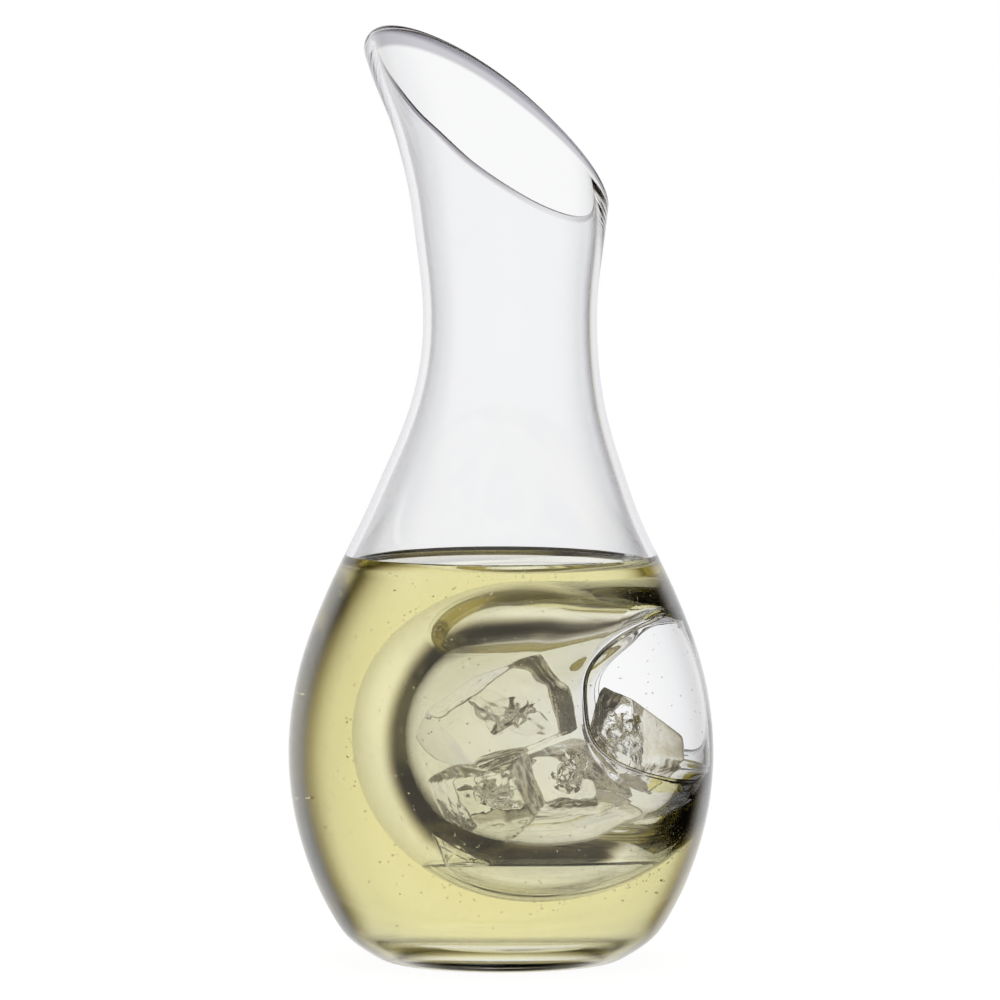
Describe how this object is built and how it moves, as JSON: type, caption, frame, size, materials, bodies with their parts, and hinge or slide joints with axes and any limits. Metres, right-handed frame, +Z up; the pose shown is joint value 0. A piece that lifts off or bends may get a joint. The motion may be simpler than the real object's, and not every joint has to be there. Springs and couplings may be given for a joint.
{
  "type": "ice pocket carafe",
  "caption": "Blown glass carafe with a slanted rim and a side pocket for ice cubes, shown filled with pale wine.",
  "frame": {"origin": "centre of the round base, on the surface that it stands on", "axes": "+Z up along the axis of the belly; +X towards the pocket's mouth and the low side of the rim, so the high lip is at -X"},
  "size_m": [0.141, 0.141, 0.3093],
  "materials": {
    "glass": "clear fire-polished glass",
    "wine": "clear pale straw liquid",
    "water": "clear water",
    "ice": "wet cracked ice"
  },
  "bodies": {
    "root": {"glass_body": "glass", "ice_pocket": "glass", "wine": "wine", "melt_water": "water", "ice_upper": "ice", "ice_lower": "ice", "ice_middle": "ice", "ice_mouth": "ice"}
  },
  "joints": []
}
